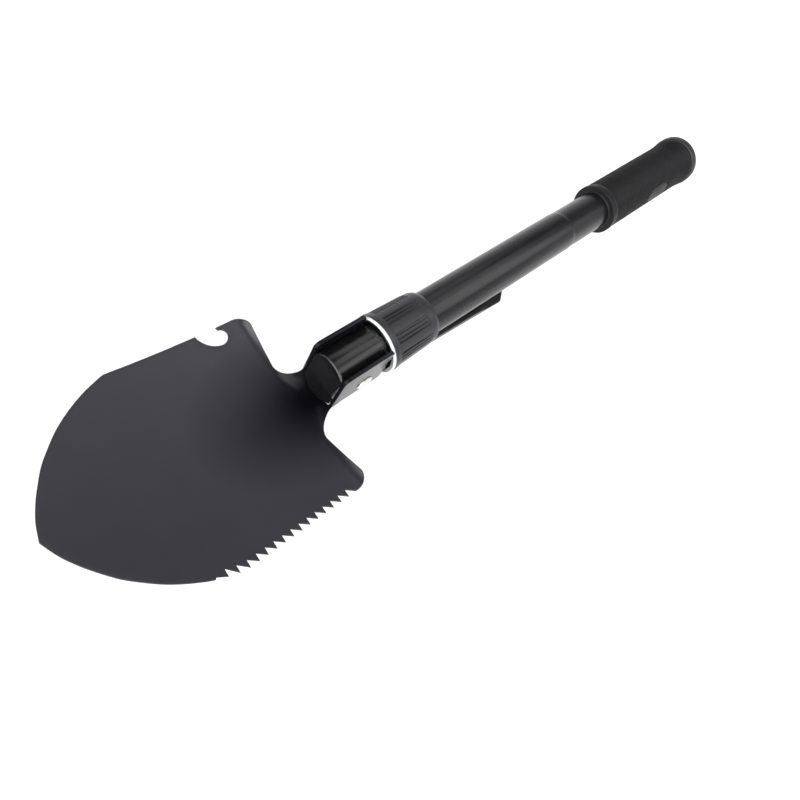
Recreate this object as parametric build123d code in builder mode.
from build123d import *
import math
import os

# Folding camp shovel with a pick under the tube and a compass in the end cap. Millimetres.
# Origin: on the handle tube's axis, at the front face of the locking collar.
# +X runs along the handle towards the blade's tip, +Y towards the saw edge,
# +Z out of the blade's hollow side.

# ---- handle tube ----
tube_r = 10.65          # front part
tube_rear_r = 10.40     # swaged rear part
tube_wall = 1.20
tube_bore_r = tube_r - tube_wall
tube_rear_bore_r = tube_rear_r - tube_wall
tube_front_x = -24.0
tube_step_x = -136.0
tube_end_x = -252.2

# ---- fold joint ----
fold_x = 13.7           # fold axis, along Y
fold_z = -5.2
fold_plane = Plane(origin=(fold_x, 0, fold_z), x_dir=(1, 0, 0), z_dir=(0, 0, 1))
fold_axis = Axis((fold_x, 0, fold_z), (0, 1, 0))
rivet_r = 3.0
rivet_head_r = 4.2
bush_r = 4.2
ear_hole_r = rivet_r + 0.06
head_flat_y = 6.60      # half width of the head across its side flats

# ---- blind pins through the tube into the head's spigot ----
spigot_pin_places = [(-30.0, 0), (-39.0, 0)]
spigot_pin_r = 1.5
spigot_pin_top_z = -3.0
pin_hole_low_z = -15.0  # below the tube
pin_hole_len = spigot_pin_top_z - pin_hole_low_z

os.makedirs("parts", exist_ok=True)


def save(part, name):
    """Label a piece and write its STEP file."""
    part.label = name
    export_step(part, f"parts/{name}.step")


def save_turned(name, *profile):
    """Revolve a closed profile of (x, radius) points about X and save the piece."""
    with BuildPart() as turned:
        with BuildSketch(Plane.XZ):
            with BuildLine():
                Polyline(*profile, close=True)
            make_face()
        revolve(axis=Axis.X)
    save(turned.part, name)


def mirrored(points):
    """The (x, y) points on the other side of the X axis, in reverse order."""
    return [(x, -y) for x, y in reversed(points)]


def side_plane(y):
    """Plane across Y with local axes X and Z; a negative extrude runs towards +Y."""
    return Plane(origin=(0, y, 0), x_dir=(1, 0, 0), z_dir=(0, -1, 0))


# ---------------------------------------------------------------- blade
# One stamping: a dished pan, a neck, and two ears bent up beside the head.
sheet = 1.60
half_w = 47.45

pan_x0 = 34.4           # rear end of the pan's lengthwise curve
pan_z0 = -14.6
pan_len = 120.0
pan_rise = 0.2623       # tangent of the pan's pitch
pan_dish = 6.0          # sideways hollow over the half width
pan_bend = 6.0          # lengthwise hollow
pan_half = 48.0
lift_x = 27.0           # lift of the pan's rear end, growing away from the middle
lift_len = 6.0
lift_height = 11.5      # reached at y = lift_half
lift_half = 11.0
lift_limit = 2.6        # largest multiple of lift_height
groove_x = 44.0         # shallow groove along the middle of the neck
groove_len = 24.0
groove_half = 13.0
groove_depth = 1.8

# rear edge of the pan: an arc through (x + bow, +-half) and (x, 0)
rear_edge_mid_x = 27.9
rear_edge_bow = 1.6
rear_edge_half = 8.6
rear_corner_x = rear_edge_mid_x + rear_edge_bow
neck_root_x = 27.0

ear_in = 9.20           # faces of the ears
ear_out = 11.00
ear_rear_x = 1.80
ear_front_x = 30.2
ear_top_z = 13.0
ear_low_z = -12.8
ear_foot_x = ear_front_x + 0.3
ear_foot_z = -14.0

tooth_count = 15
tooth_pitch = 4.35
tooth_depth = 3.4
tooth_x0 = 48.6         # first tooth's point
tooth_lean = 0.45       # the root lies this far behind the point
saw_bend_x = 103.0      # the saw edge is straight up to here, then slopes in
saw_slope = 0.32


def pan_z(x, y):
    """Height of the pan's hollow face."""
    u = (x - pan_x0) / pan_len
    z = pan_z0 + (x - pan_x0) * pan_rise
    z += pan_dish * ((y / pan_half) ** 2 - 1.0)
    z -= 4.0 * pan_bend * u * (1.0 - u)
    lift = math.exp(-(((x - lift_x) / lift_len) ** 2))
    z += lift_height * lift * min((y / lift_half) ** 2, lift_limit)
    groove = math.exp(-((y / groove_half) ** 2)) * math.exp(-(((x - groove_x) / groove_len) ** 2))
    return z - groove_depth * groove


pan_xs = [24, 27, 30, 33, 36, 40, 46, 54, 64, 76, 90, 106, 124, 142, 160]
pan_ys = [-54, -42, -32, -24, -18, -13, -9, -5, 0, 5, 9, 13, 18, 24, 32, 42, 54]
with BuildPart() as pan_sheet:
    for x in pan_xs:
        with BuildSketch(Plane(origin=(x, 0, 0), x_dir=(0, 1, 0), z_dir=(1, 0, 0))):
            with BuildLine():
                hollow = Spline(*[(y, pan_z(x, y)) for y in pan_ys])
                under = Spline(*[(y, pan_z(x, y) - sheet) for y in reversed(pan_ys)])
                Line(hollow @ 1, under @ 0)
                Line(under @ 1, hollow @ 0)
            make_face()
    loft()

# Plan outline tables, (x, y) on the +Y side.
neck_flare = [(30.6, ear_out), (33.6, 12.6), (36.3, 15.2), (38.0, 18.0), (38.5, 21.0)]
shoulder = [(36.5, 41.2), (38.3, 45.6), (42.6, half_w)]
tip_side = [
    (103.5, half_w), (108.6, 45.75), (114.0, 43.6), (121.3, 39.8), (128.7, 34.9), (134.8, 29.6),
    (139.9, 24.5), (144.2, 18.9), (148.0, 13.2), (151.3, 7.0), (153.8, 0.0),
]
tip_from_saw = tip_side[2:]     # the saw takes the place of the first two points

saw = [(44.2, half_w)]
for i in range(tooth_count):
    point_x = tooth_x0 + tooth_pitch * i
    point_y = half_w - max(0.0, point_x - saw_bend_x) * saw_slope
    saw.append((point_x - tooth_lean, point_y - tooth_depth))
    saw.append((point_x, point_y))
saw += [(113.4, 42.9), tip_from_saw[0]]

ear_outline = [
    (ear_rear_x + 1.2, ear_top_z), (ear_front_x - 1.6, ear_top_z),
    (ear_front_x, ear_top_z - 1.8), (ear_foot_x, -12.9), (ear_foot_x, ear_foot_z),
    (27.4, ear_foot_z), (25.6, ear_low_z), (ear_rear_x + 1.6, ear_low_z),
    (ear_rear_x, ear_low_z + 1.6), (ear_rear_x, ear_top_z - 1.2),
]

cut_half_z = 60.0       # the plan is extruded this far above and below z = 0
with BuildPart() as blade:
    with BuildSketch(Plane.XY.offset(-cut_half_z)):
        with BuildLine():
            ThreePointArc((rear_corner_x, -rear_edge_half), (rear_edge_mid_x, 0),
                          (rear_corner_x, rear_edge_half))
            Polyline((rear_corner_x, rear_edge_half), (neck_root_x, rear_edge_half),
                     (neck_root_x, ear_out), neck_flare[0])
            Spline(*neck_flare, tangents=[(1.0, 0.25), (-0.08, 1.0)])
            Line(neck_flare[-1], shoulder[0])
            ThreePointArc(*shoulder)
            Polyline(shoulder[-1], *saw)
            Spline(*tip_from_saw, tangents=[(0.93, -0.37), (0.32, -0.95)])
            Spline(*mirrored(tip_side), tangents=[(-0.32, -0.95), (-1.0, -0.22)])
            # rounded notch in the -Y edge
            Polyline((103.5, -half_w), (61.8, -half_w))
            ThreePointArc((61.8, -half_w), (58.6, -42.0), (53.4, -39.6))
            ThreePointArc((53.4, -39.6), (49.4, -40.6), (47.9, -43.0))
            ThreePointArc((47.9, -43.0), (48.6, -45.2), (50.7, -46.1))
            Line((50.7, -46.1), (51.3, -half_w))
            Line((51.3, -half_w), (42.6, -half_w))
            ThreePointArc(*mirrored(shoulder))
            Line((36.5, -41.2), (38.5, -21.0))
            Spline(*mirrored(neck_flare), tangents=[(0.08, 1.0), (-1.0, 0.25)])
            Polyline((30.6, -ear_out), (neck_root_x, -ear_out), (neck_root_x, -rear_edge_half),
                     (rear_corner_x, -rear_edge_half))
        make_face()
    extrude(amount=2 * cut_half_z)
    add(pan_sheet.part, mode=Mode.INTERSECT)
    for low_y in (-ear_out, ear_in):
        with BuildSketch(side_plane(low_y)):
            with BuildLine():
                Polyline(*ear_outline, close=True)
            make_face()
            with Locations((fold_x, fold_z)):
                Circle(ear_hole_r, mode=Mode.SUBTRACT)
        extrude(amount=-(ear_out - ear_in))
save(blade.part, "blade")

# ---------------------------------------------------------------- head fitting
# Round bar end of the handle: side flats for the pick's ears, a chin that
# seats over the blade's neck, a coarse two-start ridge thread for the collar,
# and a spigot inside the tube. The nose is trimmed about the fold axis, so
# that the rear edge of the blade's pan swings past it.
head_nose_x = 28.5      # front end of the round bar
head_spigot_x = -46.0
head_flat_rear = 2.95
head_flat_front = 25.6
head_flat_top = 5.60    # the flats stop at this height
nose_half = 8.40        # half width between the blade's ears
nose_room_r = 21.75     # largest radius of the nose about the fold axis
nose_gap = 0.30         # clearance to the pan's rear edge

thread_crest_r = 11.80
thread_lead = 10.0      # two starts
thread_x0 = -21.0
thread_x1 = -4.0
thread_sink = 0.6       # the thread's path lies this far inside the bar's surface
thread_root_half = 1.7  # half width of a ridge at its root and at its crest
thread_crest_half = 0.6
thread_flat_y = 9.10    # half width across the threads, inside the ears' sweep

flat_box_y = 6.0        # Y size of the boxes that cut flats
flat_box_z = 20.0       # height of the boxes that cut the head's side flats


def beside(x, flat_y, z=0.0):
    """Centres of two boxes, flat_box_y wide, whose inner faces lie at +-flat_y."""
    y = flat_y + flat_box_y / 2
    return [(x, y, z), (x, -y, z)]


def rear_edge_x(y):
    """X of the pan's rear edge."""
    r = (rear_edge_half ** 2 + rear_edge_bow ** 2) / (2 * rear_edge_bow)
    return rear_edge_mid_x + r - math.sqrt(r * r - min(abs(y), rear_edge_half) ** 2)


def nose_limit(y):
    """Radius about the fold axis that the pan's rear edge leaves free."""
    x = rear_edge_x(y)
    return math.hypot(x - fold_x, pan_z(x, y) - fold_z) - nose_gap


# A block in front of the head, less the turned room that the nose may fill.
nose_ys = [-12.0, -8.6, -7.2, -5.6, -4.0, -2.0, 0.0, 2.0, 4.0, 5.6, 7.2, 8.6, 12.0]
with BuildPart() as nose_trim:
    with Locations((30.0, 0, 0)):
        Box(20.0, 26.0, 60.0)
    with BuildSketch(fold_plane):
        with BuildLine():
            nose_curve = Polyline(*[(min(nose_room_r, nose_limit(y)), y) for y in nose_ys])
            Polyline(nose_curve @ 1, (0, nose_ys[-1]), (0, nose_ys[0]), nose_curve @ 0)
        make_face()
    revolve(axis=fold_axis, mode=Mode.SUBTRACT)

with BuildPart() as plain_head:
    with BuildSketch(Plane.XZ):
        with BuildLine():
            Polyline(
                (head_nose_x, 0), (head_nose_x, tube_r - 0.5), (head_nose_x - 0.5, tube_r),
                (tube_front_x, tube_r), (tube_front_x, tube_bore_r),
                (head_spigot_x + 1, tube_bore_r), (head_spigot_x, tube_bore_r - 1),
                (head_spigot_x, 0), close=True,
            )
        make_face()
    revolve(axis=Axis.X)
    with Locations(*beside((head_flat_rear + head_flat_front) / 2, head_flat_y,
                           head_flat_top - flat_box_z / 2)):
        Box(head_flat_front - head_flat_rear, flat_box_y, flat_box_z, mode=Mode.SUBTRACT)
    # chin
    with BuildSketch(Plane.XZ):
        with BuildLine():
            Polyline(
                (head_flat_front, 6.0), (head_nose_x, 6.0), (31.3, -4.0), (32.0, -15.5),
                (30.0, -21.0), (25.8, -21.0), (25.8, -9.6), (head_flat_front, -9.4), close=True,
            )
        make_face()
    extrude(amount=nose_half, both=True)
    with Locations(*beside(16.0, nose_half)):
        Box(34.0, flat_box_y, 60.0, mode=Mode.SUBTRACT)
    add(nose_trim.part, mode=Mode.SUBTRACT)
    with BuildSketch(Plane.XZ):
        with Locations((fold_x, fold_z)):
            Circle(bush_r)
    extrude(amount=15, both=True, mode=Mode.SUBTRACT)
    with BuildSketch(Plane.XY.offset(pin_hole_low_z)):
        with Locations(*spigot_pin_places):
            Circle(spigot_pin_r)
    extrude(amount=pin_hole_len, mode=Mode.SUBTRACT)

thread_path = Helix(pitch=thread_lead, height=thread_x1 - thread_x0,
                    radius=tube_r - thread_sink, center=(thread_x0, 0, 0), direction=(1, 0, 0))
path_start = thread_path @ 0
outward = path_start - Vector(path_start.X, 0, 0)
ridge_top = thread_crest_r - tube_r + thread_sink
with BuildPart() as thread_start:
    with BuildSketch(Plane(origin=path_start, x_dir=outward, z_dir=thread_path % 0)):
        with BuildLine():
            Polyline(
                (-0.3, -thread_root_half), (thread_sink, -thread_root_half),
                (ridge_top, -thread_crest_half), (ridge_top, thread_crest_half),
                (thread_sink, thread_root_half), (-0.3, thread_root_half), close=True,
            )
        make_face()
    sweep(path=thread_path, is_frenet=True)

with BuildPart() as head_fitting:
    add(plain_head.part)
    add(thread_start.part)
    add(thread_start.part.rotate(Axis.X, 180))
    with Locations(*beside(-6.0, thread_flat_y)):
        Box(10.2, flat_box_y, 30.0, mode=Mode.SUBTRACT)
save(head_fitting.part, "head_fitting")

# Blind pins from below that hold the head's spigot in the tube.
spigot_pin_low_z = -tube_r + 0.1
with BuildPart() as head_pins:
    with BuildSketch(Plane.XY.offset(spigot_pin_low_z)):
        with Locations(*spigot_pin_places):
            Circle(spigot_pin_r)
    extrude(amount=spigot_pin_top_z - spigot_pin_low_z)
save(head_pins.part, "head_pins")

# ---------------------------------------------------------------- handle tube
with BuildPart() as handle_tube:
    with BuildSketch(Plane.XZ):
        with BuildLine():
            Polyline(
                (tube_front_x, tube_bore_r), (tube_front_x, tube_r - 0.3),
                (tube_front_x - 0.3, tube_r), (tube_step_x + 0.8, tube_r),
                (tube_step_x - 0.8, tube_rear_r), (tube_end_x, tube_rear_r),
                (tube_end_x, tube_rear_bore_r), (tube_step_x - 0.8, tube_rear_bore_r),
                (tube_step_x + 2.0, tube_bore_r), close=True,
            )
        make_face()
    revolve(axis=Axis.X)
    with BuildSketch(Plane.XY.offset(pin_hole_low_z)):
        with Locations(*spigot_pin_places):
            Circle(spigot_pin_r)
    extrude(amount=pin_hole_len, mode=Mode.SUBTRACT)
save(handle_tube.part, "handle_tube")

# ---------------------------------------------------------------- pick
# A channel that lies under the tube, with two ears inside the blade's ears.
pick_wall = 1.8
pick_out = 9.05         # outer and inner faces of the ears
pick_in = pick_out - pick_wall
pick_low_z = -16.8
pick_rim_z = -12.7
pick_ear_r = 10.2
pick_ear_rear_x = 3.6

# (x, y) on the +Y side, the plan from the point forwards, the rim's outer face rearwards
pick_half_plan = [(-100.6, 1.0), (-86.0, 12.1), (-38.0, 10.4), (-14.0, pick_out), (7.0, pick_out)]
rim_outer = [(pick_ear_rear_x, pick_out), (-14.0, pick_out), (-38.0, 10.4), (-78.0, 11.817)]
rim_inner = [(x, y - pick_wall) for x, y in reversed(rim_outer)]

with BuildPart() as pick:
    with BuildSketch(Plane.XY.offset(pick_low_z)):
        with BuildLine():
            Polyline(*mirrored(pick_half_plan), *pick_half_plan, close=True)
        make_face()
    extrude(amount=pick_wall)
    with BuildSketch(Plane.XY.offset(pick_low_z)):
        for side in (1, -1):
            with BuildLine():
                Polyline(*[(x, side * y) for x, y in rim_outer + rim_inner], close=True)
            make_face()
    extrude(amount=pick_rim_z - pick_low_z)
    # slope the rear ends of the rims
    with BuildSketch(Plane.XZ):
        with BuildLine():
            Polyline((-70.0, pick_rim_z + 0.01), (-79.0, pick_rim_z + 0.01),
                     (-79.0, -15.0), (-77.0, -15.0), close=True)
        make_face()
    extrude(amount=14, both=True, mode=Mode.SUBTRACT)
    for low_y in (-pick_out, pick_in):
        with BuildSketch(side_plane(low_y)):
            with Locations((fold_x, fold_z)):
                Circle(pick_ear_r)
            with BuildLine():
                Polyline((pick_ear_rear_x, -5.0), (pick_ear_rear_x, pick_low_z),
                         (8.6, pick_low_z), (17.4, -14.0), (fold_x, -5.0), close=True)
            make_face()
            with Locations((fold_x, fold_z)):
                Circle(ear_hole_r, mode=Mode.SUBTRACT)
        extrude(amount=-pick_wall)
save(pick.part, "pick")

# ---------------------------------------------------------------- pivot
rivet_seat_y = ear_out + 0.08   # inner faces of the rivet's two heads
with BuildPart() as pivot_rivet:
    with BuildSketch(fold_plane):
        with BuildLine():
            Line((0, -12.5), (1.6, -12.45))
            ThreePointArc((1.6, -12.45), (3.2, -12.15), (rivet_head_r, -11.35))
            Polyline(
                (rivet_head_r, -11.35), (rivet_head_r, -rivet_seat_y), (rivet_r, -rivet_seat_y),
                (rivet_r, rivet_seat_y), (rivet_head_r, rivet_seat_y), (rivet_head_r, 11.35),
            )
            ThreePointArc((rivet_head_r, 11.35), (3.2, 12.15), (1.6, 12.45))
            Line((1.6, 12.45), (0, 12.5))
            Line((0, 12.5), (0, -12.5))
        make_face()
    revolve(axis=fold_axis)
save(pivot_rivet.part, "pivot_rivet")

with BuildPart() as pivot_bush:
    with BuildSketch(Plane.XZ):
        with Locations((fold_x, fold_z)):
            Circle(bush_r)
            Circle(rivet_r, mode=Mode.SUBTRACT)
    extrude(amount=head_flat_y, both=True)
save(pivot_bush.part, "pivot_bush")

# Washers between the head's flats and the pick's ears.
washer_r = 5.6
washer_thick = 0.5
washer_in = head_flat_y + 0.05
with BuildPart() as pivot_washers:
    for low_y in (-washer_in - washer_thick, washer_in):
        with BuildSketch(side_plane(low_y)):
            with Locations((fold_x, fold_z)):
                Circle(washer_r)
                Circle(rivet_r + 0.05, mode=Mode.SUBTRACT)
        extrude(amount=-washer_thick)
save(pivot_washers.part, "pivot_washers")

# ---------------------------------------------------------------- locking collar
ring_r = 14.2
ring_bore_r = 13.45     # the ring sits round the collar's front sleeve
ring_rear_x = 0.1
ring_front_x = 1.40
sleeve_r = ring_bore_r - 0.05
sleeve_front_x = 1.15
collar_len = 29.5
collar_bore_r = 12.05
collar_lip_r = 10.75    # bore of the lip at the collar's rear end

save_turned(
    "thrust_ring",
    (ring_rear_x, ring_bore_r), (ring_rear_x, ring_r), (ring_front_x - 0.3, ring_r),
    (ring_front_x, ring_r - 0.3), (ring_front_x, ring_bore_r),
)
save_turned(
    "collar_sleeve",
    (0.0, collar_bore_r), (0.0, sleeve_r), (sleeve_front_x - 0.15, sleeve_r),
    (sleeve_front_x, sleeve_r - 0.15), (sleeve_front_x, collar_bore_r),
)

# Flutes along the collar, in groups of three. Angles in degrees from +Y towards +Z.
flute_groups = 9
flute_angle0 = 23.0
flute_spacing = 8.0
flute_mid_x = -13.6
flute_len = 20.4
flute_width = 1.3
flute_start_r = 14.6    # the cut starts outside the collar
flute_cut = 1.75
with BuildPart() as lock_collar:
    with BuildSketch(Plane.XZ):
        with BuildLine():
            Polyline(
                (0.0, collar_bore_r), (0.0, 14.0), (-0.3, 14.3), (-2.4, 14.3), (-2.8, 14.0),
                (-22.5, 13.3), (-27.2, 12.95), (-28.9, 12.4), (-collar_len, 11.8),
                (-collar_len, collar_lip_r), (-25.6, collar_lip_r), (-24.3, collar_bore_r),
                close=True,
            )
        make_face()
    revolve(axis=Axis.X)
    for group in range(flute_groups):
        for step in (-1, 0, 1):
            angle = math.radians(flute_angle0 + 360.0 / flute_groups * group + flute_spacing * step)
            out_y = math.cos(angle)
            out_z = math.sin(angle)
            with BuildSketch(Plane(origin=(0, flute_start_r * out_y, flute_start_r * out_z),
                                   x_dir=(1, 0, 0), z_dir=(0, out_y, out_z))):
                with Locations((flute_mid_x, 0)):
                    SlotOverall(flute_len, flute_width)
            extrude(amount=-flute_cut, mode=Mode.SUBTRACT)
save(lock_collar.part, "lock_collar")

# ---------------------------------------------------------------- grip
grip_front_x = -168.7
grip_end_x = -252.7
grip_r = 13.5
front_band_r = 13.8
rear_band_r = 14.2
save_turned(
    "grip",
    (grip_front_x + 0.6, tube_rear_r), (grip_front_x, tube_rear_r + 0.6), (grip_front_x, 13.2),
    (grip_front_x - 0.7, front_band_r), (grip_front_x - 3.4, front_band_r),
    (grip_front_x - 4.2, grip_r), (grip_end_x + 13.0, grip_r), (grip_end_x + 6.0, 13.85),
    (grip_end_x + 2.4, rear_band_r), (grip_end_x + 0.4, rear_band_r), (grip_end_x, 13.85),
    (grip_end_x, tube_rear_r),
)

# ---------------------------------------------------------------- end cap, socket and seal
cap_r = 14.6
cap_end_x = -257.8
plug_r = 8.45
plug_front_x = -240.0
socket_front_x = -237.0
socket_bore_r = plug_r + 0.05
pocket_r = 6.9          # compass pocket, open at the cap's rear end
pocket_floor_x = -247.0

save_turned(
    "cap_socket",
    (tube_end_x, socket_bore_r), (tube_end_x, tube_rear_bore_r),
    (socket_front_x, tube_rear_bore_r), (socket_front_x, socket_bore_r),
)
save_turned("cap_seal", (-252.8, 9.0), (-252.8, 12.9), (-253.4, 12.9), (-253.4, 9.0))
save_turned(
    "end_cap",
    (pocket_floor_x, 0), (pocket_floor_x, pocket_r), (cap_end_x, pocket_r),
    (cap_end_x, cap_r - 0.9), (cap_end_x + 0.3, cap_r - 0.3), (cap_end_x + 0.9, cap_r),
    (-253.4, cap_r), (-252.95, cap_r - 0.45), (-252.95, 13.1), (-253.45, 13.1),
    (-253.45, plug_r), (plug_front_x - 0.6, plug_r), (plug_front_x, plug_r - 0.6),
    (plug_front_x, 0),
)

# ---------------------------------------------------------------- compass in the cap
housing_bore_r = 6.2
post_r = 0.45           # the post that carries the card
lens_front_x = -254.5
lens_rear_x = -255.4
card_rear_x = -251.8    # rear face of the card's disc
hub_r = 1.2
hub_bore_r = 0.55

save_turned(
    "compass_housing",
    (pocket_floor_x, post_r), (pocket_floor_x, pocket_r), (lens_rear_x, pocket_r),
    (lens_rear_x, housing_bore_r), (-247.8, housing_bore_r), (-247.8, post_r),
)
save_turned(
    "compass_pivot",
    (pocket_floor_x, 0), (pocket_floor_x, post_r), (-250.9, post_r), (-251.5, 0.05), (-251.5, 0),
)
save_turned(
    "compass_card",
    (-250.0, hub_bore_r), (-250.0, hub_r), (-251.4, hub_r), (-251.4, 5.7), (card_rear_x, 5.7),
    (card_rear_x, hub_r), (-252.3, hub_r), (-252.3, 0), (-251.6, 0), (-251.6, hub_bore_r),
)

# A flat diamond round the card's hub, its points along Z.
needle_half_len = 5.0
needle_half_w = 1.75
needle_thick = 0.35
with BuildPart() as compass_needle:
    with BuildSketch(Plane(origin=(card_rear_x, 0, 0), x_dir=(0, 1, 0), z_dir=(-1, 0, 0))):
        with BuildLine():
            Polyline((0, needle_half_len), (needle_half_w, 0), (0, -needle_half_len),
                     (-needle_half_w, 0), close=True)
        make_face()
        Circle(hub_r, mode=Mode.SUBTRACT)
    extrude(amount=needle_thick)
save(compass_needle.part, "compass_needle")

save_turned(
    "compass_lens",
    (lens_front_x, 0), (lens_front_x, housing_bore_r), (lens_rear_x, housing_bore_r),
    (lens_rear_x, 0),
)
save_turned(
    "compass_bezel",
    (lens_rear_x, 5.5), (lens_rear_x, pocket_r), (-256.0, pocket_r), (-256.0, 6.1), (-255.6, 5.5),
)
